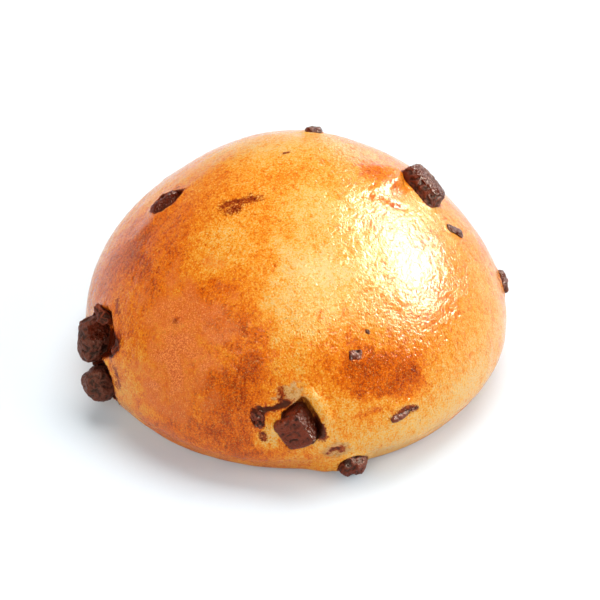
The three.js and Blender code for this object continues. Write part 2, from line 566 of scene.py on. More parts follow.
@dataclass(frozen=True)
class Shelf:
    """Dough that stands up over its neighbour: steep at one end and level with the crust at the other.

    The outline is in millimetres round the bun and up the slope from the anchor.
    """

    azimuth: float
    height: float
    outline: tuple[Point, ...]
    rise: float
    edge: float
    steep: Point  # the steep end
    level: Point  # the level end

    def press(self, crust: Crust) -> None:
        """Raises the shelf.

        Args:
            crust: The crust.
        """
        matrix = crust.skin.frame(self.azimuth, self.height)
        outline = list(self.outline)
        reach = max(math.hypot(*point) for point in outline) + 2
        run = Vector(self.level) - Vector(self.steep)
        for index, local in crust.near(matrix, reach):
            distance = edge_distance((local.x, local.y), outline)
            distance += noise.noise(crust.places[index] / 1.5) * 0.35
            along = (Vector((local.x, local.y)) - Vector(self.steep)).dot(run) / run.length_squared
            rise = self.rise * smooth(0, self.edge, -distance) * smooth(1.0, 0.15, along)
            crust.lift(index, rise)


Press = Swell | Patch | Stroke | Tear | Shelf


# ---- Node trees ------------------------------------------------------------------------------

Socket = bpy.types.NodeSocket
Input = Socket | float | tuple | Vector


class Wiring:
    """Adds nodes to one tree and joins them."""

    def __init__(self, tree: bpy.types.NodeTree) -> None:
        """Takes the tree and empties it."""
        self.tree = tree
        tree.nodes.clear()

    def node(
        self, kind: str, inputs: dict[str | int, Input] | None = None, **settings: str | bpy.types.NodeTree
    ) -> bpy.types.Node:
        """Adds a node.

        Args:
            kind: The node's type.
            inputs: What each input is joined to or set to, by name or number.
            **settings: The node's own settings.

        Returns:
            The node.
        """
        node = self.tree.nodes.new(kind)
        for name, value in settings.items():
            setattr(node, name, value)
        for key, value in (inputs or {}).items():
            self.join(value, node.inputs[key])
        return node

    def join(self, value: Input, socket: Socket) -> None:
        """Joins a socket to another one, or sets its value.

        Args:
            value: The socket to join, or the value to set.
            socket: The input.
        """
        if isinstance(value, Socket):
            self.tree.links.new(value, socket)
        else:
            socket.default_value = value

    def shade(self, inputs: dict[str | int, Input]) -> None:
        """Gives the material a Principled shader with these inputs."""
        shader = self.node("ShaderNodeBsdfPrincipled", inputs)
        self.node("ShaderNodeOutputMaterial", {0: shader.outputs[0]})

    def math(self, operation: str, *values: Input) -> Socket:
        """Does one sum on one, two or three values."""
        inputs = dict(enumerate(values))
        return self.node("ShaderNodeMath", inputs, operation=operation).outputs[0]

    def total(self, *values: Input) -> Socket:
        """Adds several values.

        Args:
            *values: The values.

        Returns:
            Their sum.
        """
        result = values[0]
        for value in values[1:]:
            result = self.math("ADD", result, value)
        return result

    def times(self, first: Input, second: Input) -> Socket:
        """Multiplies two values."""
        return self.math("MULTIPLY", first, second)

    def swing(self, value: Input, amount: float) -> Socket:
        """Moves a value from 0 to 1 so that it lies evenly round 0, spread over the amount."""
        return self.math("MULTIPLY_ADD", value, amount, -amount / 2)

    def rise(self, value: Input, low: float, high: float, start: float = 0, end: float = 1) -> Socket:
        """Maps low to high onto start to end, with an S-shaped rise and flat ends.

        Args:
            value: The value to map.
            low: Where the rise starts.
            high: Where it ends, which may be below low.
            start: The result at low.
            end: The result at high.

        Returns:
            The result.
        """
        inputs = {"Value": value, "From Min": low, "From Max": high, "To Min": start, "To Max": end}
        node = self.node("ShaderNodeMapRange", inputs, interpolation_type="SMOOTHSTEP")
        return node.outputs["Result"]

    def blend(self, share: Input, low: Input, high: Input) -> Socket:
        """Mixes two colours by a share.

        Args:
            share: How much of the second colour shows.
            low: The first colour.
            high: The second colour.

        Returns:
            The mixed colour.
        """
        node = self.node("ShaderNodeMix", {0: share}, data_type="RGBA")
        for number, value in ((6, low), (7, high)):
            self.join(value if isinstance(value, Socket) else (*value, 1), node.inputs[number])
        return node.outputs[2]

    def mark(self, name: str, output: str = "Fac") -> Socket:
        """Reads an attribute of the mesh."""
        return self.node("ShaderNodeAttribute", attribute_name=name).outputs[output]

    def millimetres(self) -> Socket:
        """Gives the place on the object in millimetres."""
        place = self.node("ShaderNodeTexCoord").outputs["Object"]
        return self.node("ShaderNodeMapping", {"Vector": place, "Scale": (1 / MM,) * 3}).outputs[0]

    def stretched(self, vector: Socket, scale: tuple[float, float, float]) -> Socket:
        """Scales a vector by axis."""
        return self.node("ShaderNodeMapping", {"Vector": vector, "Scale": scale}).outputs[0]

    def noise(self, vector: Socket, size: float, detail: float = 2, roughness: float = 0.5) -> Socket:
        """Gives soft noise from 0 to 1 whose lumps have a size in the vector's units."""
        inputs = {"Vector": vector, "Scale": 1 / size, "Detail": detail, "Roughness": roughness}
        return self.node("ShaderNodeTexNoise", inputs).outputs[0]

    def ramp(self, share: Socket, stops: tuple[tuple[float, Colour], ...]) -> Socket:
        """Looks up a colour in a row of stops.

        Args:
            share: The place in the row, from 0 to 1.
            stops: Each stop's place and colour, in order.

        Returns:
            The colour.
        """
        node = self.node("ShaderNodeValToRGB", {"Fac": share})
        elements = node.color_ramp.elements
        for _ in stops[2:]:
            elements.new(0.5)
        for element, (place, colour) in zip(elements, stops):
            element.position = place
            element.color = (*colour, 1)
        return node.outputs["Color"]

    def group(self, tree: bpy.types.NodeTree, **inputs: Input) -> bpy.types.Node:
        """Places a node group with its own values.

        Args:
            tree: The node group.
            **inputs: Its inputs, by name in lower case.

        Returns:
            The node.
        """
        node = self.node("ShaderNodeGroup", node_tree=tree)
        for name, value in inputs.items():
            self.join(value, node.inputs[name.capitalize()])
        return node


def new_group(name: str, inputs: dict[str, str], outputs: dict[str, str]) -> tuple[Wiring, Socket, dict]:
    """Starts a shader node group.

    Args:
        name: The group's name.
        inputs: The type of each input socket, by name.
        outputs: The type of each output socket, by name.

    Returns:
        The group's wiring, its inputs' sockets by name, and its output node's inputs.
    """
    tree = bpy.data.node_groups.new(name, "ShaderNodeTree")
    wiring = Wiring(tree)
    for label, kind in inputs.items():
        tree.interface.new_socket(label, in_out="INPUT", socket_type=kind)
    for label, kind in outputs.items():
        tree.interface.new_socket(label, in_out="OUTPUT", socket_type=kind)
    source = wiring.node("NodeGroupInput")
    sink = wiring.node("NodeGroupOutput")
    return wiring, source.outputs, sink.inputs


def new_material(name: str) -> tuple[bpy.types.Material, Wiring]:
    """Makes a material whose nodes are still to be added, and the wiring for them.

    Args:
        name: The material's name.

    Returns:
        The material and its wiring.
    """
    material = bpy.data.materials.new(name)
    material.use_nodes = True
    return material, Wiring(material.node_tree)


class Effects:
    """Shader node groups that the crust and the chocolate share."""

    def __init__(self) -> None:
        """Builds each group once."""
        self.specks = self._specks()
        self.wrinkles = self._wrinkles()

    @staticmethod
    def _specks() -> bpy.types.NodeTree:
        """Makes scattered round specks.

        Returns:
            The group. Size is the space between specks, Width a speck's own width as a share
            of it, and Share the part of the places that have one.
        """
        kinds = {"Vector": "NodeSocketVector", "Size": "NodeSocketFloat"}
        kinds |= {"Width": "NodeSocketFloat", "Share": "NodeSocketFloat"}
        wiring, given, result = new_group("scattered specks", kinds, {"Mask": "NodeSocketFloat"})
        scale = wiring.math("DIVIDE", 1.0, given["Size"])
        cells = wiring.node("ShaderNodeTexVoronoi", {"Vector": given["Vector"], "Scale": scale})
        chance = wiring.node("ShaderNodeSeparateColor", {"Color": cells.outputs["Color"]}).outputs[0]
        present = wiring.math("LESS_THAN", chance, given["Share"])
        spread = wiring.math("DIVIDE", cells.outputs["Distance"], given["Width"])
        inside = wiring.rise(spread, 1.0, 0.4)
        wiring.join(wiring.times(inside, present), result["Mask"])
        return wiring.tree

    @staticmethod
    def _wrinkles() -> bpy.types.NodeTree:
        """Makes fine folds with sharp crests.

        Returns:
            The group. Size is the space between folds.
        """
        kinds = {"Vector": "NodeSocketVector", "Size": "NodeSocketFloat"}
        wiring, given, result = new_group("fine folds", kinds, {"Height": "NodeSocketFloat"})
        scale = wiring.math("DIVIDE", 1.0, given["Size"])
        bend = wiring.node("ShaderNodeTexNoise", {"Vector": given["Vector"], "Scale": scale, "Detail": 1.0})
        near = wiring.node(
            "ShaderNodeVectorMath",
            {0: bend.outputs["Color"], 1: (0.5, 0.5, 0.5)},
            operation="SUBTRACT",
        )
        push = wiring.node("ShaderNodeVectorMath", {0: near.outputs[0], 3: given["Size"]}, operation="SCALE")
        moved = wiring.node("ShaderNodeVectorMath", {0: given["Vector"], 1: push.outputs[0]}, operation="ADD")
        inputs = {"Vector": moved.outputs[0], "Scale": scale, "Detail": 2.0, "Roughness": 0.55}
        folds = wiring.node("ShaderNodeTexNoise", inputs).outputs[0]
        centred = wiring.math("ABSOLUTE", wiring.math("SUBTRACT", folds, 0.5))
        height = wiring.math("SUBTRACT", 1.0, wiring.times(centred, 4.0))
        wiring.join(height, result["Height"])
        return wiring.tree


# ---- Finishes --------------------------------------------------------------------------------


@dataclass(frozen=True)
class CrustFinish:
    """Egg-washed crust: golden to orange brown, with torn crumb and chocolate stains."""

    effects: Effects
    name: str = "crust"
    baking: tuple[tuple[float, Colour], ...] = (
        (0.0, (0.66, 0.40, 0.14)),
        (0.22, (0.70, 0.32, 0.036)),
        (0.42, (0.68, 0.190, 0.005)),
        (0.62, (0.60, 0.098, 0.001)),
        (0.82, (0.44, 0.058, 0.0006)),
        (1.0, (0.25, 0.023, 0.0005)),
    )
    dusk: Colour = (0.46, 0.060, 0.007)
    dusk_light: Colour = (0.78, 0.225, 0.05)
    dough: Colour = (0.30, 0.10, 0.015)
    dough_light: Colour = (0.56, 0.32, 0.12)
    crumb: Colour = (0.20, 0.030, 0.002)
    crumb_light: Colour = (0.55, 0.16, 0.012)
    # dark stain colours: melted chocolate, and painted shade in crevices and pockets
    stain_and_shade: Colour = (0.06, 0.006, 0.001)
    stain_and_shade_light: Colour = (0.30, 0.035, 0.002)
    # light flecks: partly the crust's own grain and partly painted glints on the fine relief
    fleck_and_glint: Colour = (0.92, 0.47, 0.08)
    sheen: Colour = (1.0, 0.93, 0.62)
    ior: float = 1.32  # of the egg wash
    # Each kind of mottling: its size in millimetres, and how far it moves the browning. The folds and wrinkles move
    # it as painted shade, darker in their creases and lighter on their crests.
    clouds: Point = (14, 0.34)
    patches: Point = (3.2, 0.32)
    dots: Point = (0.45, 1.10)
    grains: Point = (0.3, 0.80)
    folds: Point = (1.1, -0.30)
    wrinkles: Point = (2.3, -0.24)

    def build(self) -> bpy.types.Material:
        """Builds the material.

        Returns:
            The material.
        """
        material, wiring = new_material(self.name)
        place = wiring.millimetres()
        flow = wiring.mark("flow", "Vector")
        marks = {mark: wiring.mark(mark.value) for mark in Mark}
        along = wiring.stretched(flow, (1, 1, 0.34))
        folds = wiring.group(self.effects.wrinkles, vector=along, size=self.folds[0]).outputs[0]
        broad = wiring.group(self.effects.wrinkles, vector=place, size=self.wrinkles[0]).outputs[0]
        fine = wiring.noise(place, self.dots[0], 2, 0.6)
        grain = wiring.noise(place, self.grains[0], 1, 0.5)
        patchy = wiring.noise(place, self.patches[0], 3, 0.6)
        bake = wiring.total(
            marks[Mark.BAKE],
            wiring.swing(wiring.noise(place, self.clouds[0], 2), self.clouds[1]),
            wiring.swing(patchy, self.patches[1]),
            wiring.swing(fine, self.dots[1]),
            wiring.swing(grain, self.grains[1]),
            # painted shade: the folds and wrinkles darken the browning in their creases
            wiring.math("MULTIPLY_ADD", folds, self.folds[1], 0.19),
            wiring.math("MULTIPLY_ADD", broad, self.wrinkles[1], 0.16),
        )
        colour = wiring.ramp(bake, self.baking)
        dusk = wiring.times(marks[Mark.DUSK], wiring.rise(patchy, 0.1, 0.6, 0.6, 1.0))
        dusky = wiring.blend(wiring.rise(wiring.math("ADD", fine, grain), 0.7, 1.3), self.dusk, self.dusk_light)
        colour = wiring.blend(dusk, colour, dusky)
        mottled = wiring.swing(wiring.noise(place, 1.3, 4, 0.65), 1.2)
        pale = wiring.rise(wiring.math("ADD", marks[Mark.PALE], mottled), 0.15, 0.85)
        dough = wiring.blend(wiring.rise(mottled, -0.22, 0.12), self.dough, self.dough_light)
        colour = wiring.blend(pale, colour, dough)
        torn = wiring.rise(wiring.math("MULTIPLY_ADD", mottled, 0.4, marks[Mark.TORN]), 0.25, 0.7)
        crumb = wiring.blend(wiring.rise(fine, 0.35, 0.65), self.crumb, self.crumb_light)
        colour = wiring.blend(torn, colour, crumb)
        # light flecks over the fine grain: partly real flecks and partly painted glints
        flecks = wiring.group(self.effects.specks, vector=place, size=1.2, width=0.22, share=0.4)
        flecks_and_glints = wiring.math("MAXIMUM", flecks.outputs[0], wiring.rise(grain, 0.52, 0.76))
        colour = wiring.blend(wiring.times(flecks_and_glints, 0.36), colour, self.fleck_and_glint)
        specks = wiring.group(self.effects.specks, vector=place, size=2.6, width=0.075, share=0.35)
        colour = wiring.blend(specks.outputs[0], colour, self.stain_and_shade)
        # melted-chocolate stain and painted shade, with mottling
        stain_and_shade_share = wiring.total(marks[Mark.MELT_AND_SHADE], mottled, wiring.swing(fine, 1.0))
        colour = wiring.blend(wiring.rise(stain_and_shade_share, 0.15, 0.6), colour, self.stain_and_shade_light)
        colour = wiring.blend(wiring.rise(stain_and_shade_share, 0.45, 0.95), colour, self.stain_and_shade)
        soaked = wiring.rise(stain_and_shade_share, 0.15, 0.6, 0.0, 0.25)
        dull = wiring.math("MAXIMUM", torn, wiring.times(dusk, 0.5))
        dull = wiring.math("MAXIMUM", dull, wiring.math("MAXIMUM", soaked, marks[Mark.DULL]))
        rough = wiring.math("MULTIPLY_ADD", dull, 0.40, wiring.rise(fine, 0.2, 0.8, 0.09, 0.15))
        wiring.shade({
            "Base Color": colour,
            "Roughness": rough,
            "IOR": self.ior,
            "Specular Tint": (*self.sheen, 1),
            "Subsurface Weight": 0.08,
            "Subsurface Radius": (1.0, 0.4, 0.15),
            "Subsurface Scale": 2.5 * MM,
            "Normal": self._relief(wiring, place, (folds, broad), fine, torn),
        })
        return material

    def _relief(
        self, wiring: Wiring, place: Socket, folds: tuple[Socket, Socket], fine: Socket, torn: Socket
    ) -> Socket:
        """Makes the fine relief: folds down the slopes, pores and rough crumb.

        Args:
            wiring: The material's wiring.
            place: The place in millimetres.
            folds: Fine folds that run down the slopes, and broader wrinkles.
            fine: Fine noise.
            torn: Where the crumb is open.

        Returns:
            The normal.
        """
        pores = wiring.group(self.effects.specks, vector=place, size=1.1, width=0.2, share=0.5)
        height = wiring.total(
            wiring.times(folds[0], 0.06),
            wiring.times(folds[1], 0.10),
            wiring.times(fine, 0.055),
            wiring.times(pores.outputs[0], -0.08),
            wiring.times(torn, wiring.times(wiring.noise(place, 0.8, 3, 0.7), 0.9)),
        )
        return wiring.node("ShaderNodeBump", {"Height": height, "Distance": MM, "Strength": 1.0}).outputs[0]


@dataclass(frozen=True)
class ChocolateFinish:
    """Dark chocolate, dull where it set and glossy where it melted."""

    effects: Effects
    name: str
    dark: Colour
    light: Colour
    gloss: Colour = (0.11, 0.011, 0.002)
    rough: float = 0.45  # its roughness where it is dull
    glossy: float = 0.07  # and where it is glossy
    pits: float = 0.25
    sheen: Colour = (1.0, 0.8, 0.6)
    ior: float = 1.43

    def build(self) -> bpy.types.Material:
        """Builds the material.

        Returns:
            The material.
        """
        material, wiring = new_material(self.name)
        place = wiring.millimetres()
        shine = wiring.mark("shine")
        ragged = wiring.swing(wiring.noise(place, 1.4, 3, 0.6), 0.8)
        shine = wiring.rise(wiring.math("ADD", shine, ragged), 0.3, 0.7)
        patchy = wiring.swing(wiring.noise(place, 0.6, 4, 0.7), 1.0)
        # painted relief shade with random patchy tone added: dark in pits, light on crests
        relief_shade = wiring.rise(wiring.math("ADD", wiring.mark("relief_shade"), patchy), 0.05, 1.05)
        colour = wiring.blend(relief_shade, self.dark, self.light)
        colour = wiring.blend(wiring.times(shine, 0.8), colour, self.gloss)
        folds = wiring.group(self.effects.wrinkles, vector=place, size=0.9).outputs[0]
        pits = wiring.group(self.effects.specks, vector=place, size=0.8, width=0.3, share=0.5)
        height = wiring.total(
            wiring.times(folds, wiring.math("MULTIPLY_ADD", shine, 0.38, 0.12)),
            wiring.times(pits.outputs[0], -self.pits * 0.4),
            wiring.times(wiring.noise(place, 0.4, 3, 0.6), wiring.rise(shine, 0, 1, 0.22, 0.05)),
            wiring.times(shine, wiring.times(wiring.noise(place, 0.8, 2), 0.3)),
        )
        wiring.shade({
            "Base Color": colour,
            "Roughness": wiring.rise(shine, 0, 1, self.rough, self.glossy),
            "IOR": self.ior,
            "Specular Tint": (*self.sheen, 1),
            "Normal": wiring.node("ShaderNodeBump", {"Height": height, "Distance": MM}).outputs[0],
        })
        return material


# ---- Pieces ----------------------------------------------------------------------------------


def add_object(name: str, data: bpy.types.ID) -> bpy.types.Object:
    """Puts an object made of the data in the scene.

    Args:
        name: The object's name.
        data: Its mesh, light or camera.

    Returns:
        The object.
    """
    item = bpy.data.objects.new(name, data)
    bpy.context.scene.collection.objects.link(item)
    return item


def to_object(mesh: bmesh.types.BMesh, name: str, material: bpy.types.Material) -> bpy.types.Object:
    """Turns a mesh in millimetres into a smooth object in metres, in place.

    Args:
        mesh: The mesh, which is freed.
        name: The object's name.
        material: Its finish.

    Returns:
        The object.
    """
    bmesh.ops.scale(mesh, vec=(MM, MM, MM), verts=mesh.verts)
    for face in mesh.faces:
        face.smooth = True
    data = bpy.data.meshes.new(name)
    mesh.to_mesh(data)
    mesh.free()
    data.materials.append(material)
    return add_object(name, data)


class Melt(Enum):
    """How far a chunk melted: its lumps, its wrinkles and its pits, in millimetres."""

    SHARP = (0.50, 0.13, 0.30)
    SOFT = (0.80, 0.30, 0.18)
    RUNNY = (0.90, 0.45, 0.30)


@dataclass(frozen=True)
class Chunk:
    """One chocolate chunk in the crust."""

    node: str
    finish: str
    melt: Melt = Melt.SOFT
    shine: tuple[float, float, float] = (0.4, -0.1, 0.9)  # the side that is glossy
    shine_from: float = 0.75  # how squarely a face has to look that way to be glossy
    beads: float = 0.0  # height of the beads on the glossy side
    gap: float = 0.15  # between the chunk and the crust round it
    dip: float = 2.2  # how deep the crust is cut round it
    lip: float = 0.3
    # stain painted round it in its pocket: melted chocolate and painted shade in the gap
    stain_and_shade: float = 0.5
    torn: float = 0.6
    voxel: float = 0.26
    # Sizes of its texture, in millimetres, and of its lumps, as a share of its longest side.
    wrinkle_size: float = 1.7
    bend_size: float = 2.2
    grain_size: float = 0.55
    pit_size: float = 0.95
    bead_size: float = 0.5
    lump_share: float = 0.35
    low_middle: float = 6.0  # a chunk whose middle is lower may lie in the base
    outline_depth: float = 1.6  # how far under the crust it still counts for the pocket's outline
    floor: float = 0.05  # the lowest that it may reach
    rounds: int = 8  # of looking for the skin beside it

    def middle(self) -> Vector:
        """Gives the chunk's middle in millimetres."""
        low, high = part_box(self.node)
        return (low + high) / 2 / MM

    def frame(self, skin: Skin) -> Matrix:
        """Gives the frame of the skin beside the chunk, which looks down for one in the base.

        Args:
            skin: The bun's skin.

        Returns:
            The frame.
        """
        middle = self.middle()
        if middle.z < self.low_middle and math.hypot(middle.x, middle.y) < skin.radius * skin.base_share * 0.8:
            place = Vector((middle.x, middle.y, 0))
            return frame_of(Vector((1, 0, 0)), Vector((0, -1, 0)), Vector((0, 0, -1)), place)
        azimuth = math.degrees(math.atan2(middle.y, middle.x))
        height = middle.z
        for _ in range(self.rounds):
            matrix = skin.frame(azimuth, height)
            height += (matrix.inverted() @ middle).y * matrix.col[1].z
        return skin.frame(azimuth, height)

    def _solid(self) -> bmesh.types.BMesh:
        """Copies the chunk's solid from the frame, merged and in millimetres.

        Returns:
            The mesh.
        """
        mesh = bmesh.new()
        mesh.from_mesh(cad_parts[self.node].data)
        bmesh.ops.remove_doubles(mesh, verts=mesh.verts, dist=TOUCH)
        bmesh.ops.scale(mesh, vec=(1 / MM,) * 3, verts=mesh.verts)
        return mesh

    def hollow(self, matrix: Matrix) -> Hollow:
        """Works out the pocket that the chunk sits in.

        Args:
            matrix: The frame of the skin beside the chunk.

        Returns:
            The pocket, drawn in that frame.
        """
        solid = self._solid()
        inverse = matrix.inverted()
        local = [inverse @ vert.co for vert in solid.verts]
        solid.free()
        flat = [Vector((place.x, place.y)) for place in local if place.z > -self.outline_depth]
        hull = [flat[index] for index in geometry.convex_hull_2d(flat)]
        middle = sum(hull, Vector((0, 0))) / len(hull)
        outline = [place + (place - middle).normalized() * self.gap for place in hull]
        return Hollow(
            outline=tuple((place.x, place.y) for place in outline),
            depth=self.dip,
            wall=0.6,
            lip=self.lip,
            torn=self.torn,
            melt=self.stain_and_shade,
            ragged=0.16,
        )

    def build(self, finishes: dict[str, bpy.types.Material]) -> bpy.types.Object:
        """Builds the chunk.

        Args:
            finishes: The chocolate finishes by name.

        Returns:
            The finished piece.
        """
        mesh = self._remeshed()
        lump, wrinkle, pit = self.melt.value
        low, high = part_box(self.node)
        span = max(high - low) / MM * self.lump_share
        seed = Vector((len(self.node) * 7.3, 0, ord(self.node[-1]) * 1.9))
        layer = mesh.verts.layers.float.new("shine")
        # painted shade: darker in the pits of the relief and lighter on its crests
        relief_shade = mesh.verts.layers.float.new("relief_shade")
        shine = Vector(self.shine).normalized()
        mesh.normal_update()
        moves = []
        for vert in mesh.verts:
            place = vert.co + seed
            bend = noise.noise_vector(place / self.bend_size)
            fine = wrinkle * (ridged(place / self.wrinkle_size + bend) - 0.6)
            fine += 0.4 * wrinkle * noise.noise(place / self.grain_size)
            fine -= pit * smooth(0.25, 0.55, noise.noise(place / self.pit_size))
            glossy = smooth(self.shine_from - 0.25, self.shine_from + 0.1, vert.normal.dot(shine))
            beads = self.beads * glossy * (noise.noise(place / self.bead_size) - 0.3)
            moves.append(vert.normal * (lump * noise.noise(place / span) + fine + beads))
            vert[relief_shade] = smooth(-0.25, 0.10, fine)
            vert[layer] = glossy
        for vert, move in zip(mesh.verts, moves):
            vert.co += move
            vert.co.z = max(vert.co.z, self.floor)
        piece = to_object(mesh, self.node + "_piece", finishes[self.finish])
        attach(piece, "root")
        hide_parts(self.node)
        return piece

    def _remeshed(self) -> bmesh.types.BMesh:
        """Gives the chunk's solid an even, fine mesh, in millimetres.

        Returns:
            The mesh.
        """
        solid = self._solid()
        data = bpy.data.meshes.new("solid")
        solid.to_mesh(data)
        solid.free()
        holder = add_object("solid", data)
        remesh = holder.modifiers.new("even", "REMESH")
        remesh.mode = "VOXEL"
        remesh.voxel_size = self.voxel
        result = bmesh.new()
        result.from_object(holder, bpy.context.evaluated_depsgraph_get())
        bpy.data.objects.remove(holder)
        bpy.data.meshes.remove(data)
        return result


@dataclass
class Bun:
    """The bread, as one closed crust with a hollow for each chunk."""

    skin: Skin
    chunks: list[Chunk]
    presses: list[Press]
    cells: int = 100  # across each of the six faces that the mesh starts from
    fine_reach: float = 7.5  # how far round a chunk the mesh is finer, in millimetres
    lumps: Point = (0.5, 24)  # height and size of the broad unevenness
    dents: Point = (0.14, 6.5)  # of the finer dents
    ridges: Point = (0.08, 2.6)  # and of the ridges that run down the slopes
    ridge_squeeze: float = 0.4
    bake: float = 0.47  # how far the crust browned
    bake_drift: Point = (0.16, 30)  # how far that varies, and the size of its clouds

    def build(self, material: bpy.types.Material) -> bpy.types.Object:
        """Builds the bun.

        Args:
            material: The crust's finish.

        Returns:
            The finished piece.
        """
        crust = Crust(self.skin, self._smooth_mesh())
        self._bake(crust)
        for press in self.presses:
            press.press(crust)
        for chunk in self.chunks:
            matrix = chunk.frame(self.skin)
            chunk.hollow(matrix).press(crust, matrix)
        crust.settle()
        LOG.info("crust: %d triangles", sum(len(face.verts) - 2 for face in crust.mesh.faces))
        piece = to_object(crust.mesh, "bun_crust", material)
        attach(piece, "root")
        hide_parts("bun")
        return piece

    def _smooth_mesh(self) -> bmesh.types.BMesh:
        """Makes the smooth skin's mesh, finer beside each chunk.

        Returns:
            The mesh, in millimetres.
        """
        mesh = bmesh.new()
        bmesh.ops.create_cube(mesh, size=2.0)
        bmesh.ops.subdivide_edges(mesh, edges=mesh.edges[:], cuts=self.cells - 1, use_grid_fill=True)
        for vert in mesh.verts:
            vert.co = self.skin.from_cube(vert.co)
        spots = [chunk.frame(self.skin).translation for chunk in self.chunks]
        near = set()
        for face in mesh.faces:
            middle = face.calc_center_median()
            if any((middle - spot).length < self.fine_reach for spot in spots):
                near.update(face.edges)
        bmesh.ops.subdivide_edges(mesh, edges=list(near), cuts=1, use_grid_fill=True)
        return mesh

    def _bake(self, crust: Crust) -> None:
        """Gives the whole crust its unevenness and its browning.

        Args:
            crust: The crust.
        """
        rim = self.skin.height * 0.1
        for index, place in enumerate(crust.places):
            low = smooth(0.0, rim, place.z)
            move = self.lumps[0] * low * noise.noise(place / self.lumps[1])
            move += self.dents[0] * noise.noise(place / self.dents[1])
            flow = self.skin.flow(place)
            flow.z *= self.ridge_squeeze
            move += self.ridges[0] * low * (ridged(flow / self.ridges[1]) - 0.6)
            crust.lift(index, move)
            drift, size = self.bake_drift
            bake = self.bake + drift * noise.noise(place / size + Vector((3, 1, 7)))
            base = smooth(0.6, 0.0, place.z)
            waist = smooth(12, 3, place.z) * (1 - base)
            crust.paint(index, Mark.BAKE, bake - 0.06 * waist + 0.24 * base)
            crust.paint(index, Mark.DUSK, 0.5 * base)
            crust.paint(index, Mark.DULL, smooth(10, 4, place.z))


# ---- The stage -------------------------------------------------------------------------------


@dataclass(frozen=True)
class Panel:
    """A soft rectangular light that looks at the bun."""

    name: str
    direction: tuple[float, float, float]  # from the bun
    distance: float  # metres
    size: tuple[float, float]  # metres, across and up
    brightness: float  # of its face, where a lit white card has 1
    lights: bool = True  # whether it lights matte surfaces
    mirrored: bool = False  # whether glossy surfaces show it
    aim_height: float = 0.03  # metres

    def build(self) -> None:
        """Hangs the light."""
        data = bpy.data.lights.new(self.name, "AREA")
        data.shape = "RECTANGLE"
        data.size, data.size_y = self.size
        data.energy = self.brightness * math.pi * self.size[0] * self.size[1]
        light = add_object(self.name, data)
        away = Vector(self.direction).normalized()
        light.location = away * self.distance + Vector((0, 0, self.aim_height))
        light.rotation_euler = away.to_track_quat("Z", "Y").to_euler()
        light.visible_diffuse = self.lights
        light.visible_glossy = self.mirrored


@dataclass(frozen=True)
class Studio:
    """A white floor, soft lights and the camera."""

    aim: tuple[float, float, float] = (1.0, 0.0, 18.46)  # millimetres
    elevation: float = 34.0
    distance: float = 703.65
    lens: float = 162.66
    floor_size: float = 6.0
    floor_gap: float = 0.05  # millimetres below the base
    floor_colour: Colour = (0.62, 0.66, 0.69)
    floor_glow: Colour = (0.10, 0.12, 0.13)  # which lights nothing matte
    surround: float = 0.16
    panels: tuple[Panel, ...] = (
        Panel("sheen", (0.801, 0.172, 0.573), 0.85, (0.60, 0.40), 78.0, lights=False, mirrored=True),
        Panel("glint", (0.31, -0.46, 0.85), 1.0, (0.3, 0.3), 30.0, lights=False, mirrored=True),
        Panel("spark", (-0.50, -0.60, 0.62), 1.0, (0.12, 0.12), 24.0, lights=False, mirrored=True),
        Panel("rim", (0.42, 0.90, 0.18), 1.2, (0.6, 0.25), 6.0, lights=False, mirrored=True),
        Panel("wall", (-0.80, 0.56, 0.12), 1.3, (1.4, 0.6), 0.5, lights=False, mirrored=True),
        Panel("side", (0.85, -0.15, 0.45), 0.85, (0.775, 0.487), 4.6),
        Panel("overhead", (0.1, 0.35, 0.93), 1.3, (1.2, 1.0), 5.9),
        Panel("front", (-0.4, -0.78, 0.45), 1.2, (1.2, 0.9), 2.9),
    )

    def build(self) -> None:
        """Sets the stage."""
        self._floor()
        self._camera()
        world = bpy.data.worlds.new("studio")
        world.use_nodes = True
        back = world.node_tree.nodes["Background"]
        back.inputs["Color"].default_value = (1, 1, 1, 1)
        back.inputs["Strength"].default_value = self.surround
        bpy.context.scene.world = world
        for panel in self.panels:
            panel.build()
        bpy.context.scene.view_settings.view_transform = "Standard"

    def _floor(self) -> None:
        """Lays a matte white floor."""
        mesh = bmesh.new()
        bmesh.ops.create_grid(mesh, x_segments=1, y_segments=1, size=self.floor_size / 2)
        bmesh.ops.translate(mesh, vec=(0, 0, -self.floor_gap * MM), verts=mesh.verts)
        data = bpy.data.meshes.new("floor")
        mesh.to_mesh(data)
        mesh.free()
        floor = add_object("floor", data)
        material, wiring = new_material("floor")
        lighting = wiring.node("ShaderNodeLightPath").outputs["Is Diffuse Ray"]
        wiring.shade({
            "Base Color": (*self.floor_colour, 1),
            "Roughness": 0.9,
            "Specular IOR Level": 0.1,
            "Emission Color": wiring.blend(lighting, self.floor_glow, (0, 0, 0)),
            "Emission Strength": 1.0,
        })
        data.materials.append(material)

    def _camera(self) -> None:
        """Places the camera in front of the bun, looking down at it."""
        data = bpy.data.cameras.new("camera")
        data.lens = self.lens
        data.sensor_width = 36.0
        data.clip_start = 0.01
        camera = add_object("camera", data)
        tilt = math.radians(self.elevation)
        back = Vector((0, -math.cos(tilt), math.sin(tilt)))
        camera.location = Vector(self.aim) * MM + back * self.distance * MM
        camera.rotation_euler = back.to_track_quat("Z", "Y").to_euler()
        bpy.context.scene.camera = camera


# ---- This bun --------------------------------------------------------------------------------

DULL, RED, CRUMBLY = "chocolate dull", "chocolate glossy", "chocolate crumbly"
MATTE = 1.2  # shine_from of a chunk with hardly any gloss

# Anchors that several marks share, as azimuth and height.
FRONT = (270, 18)  # below the front chunk
LEFT = (200, 18.6)  # between the left chunks
STREAK = (229.5, 57.3)  # the scraped streak near the crown
CREASE = (356, 52)  # under the dough that stands up at the upper right

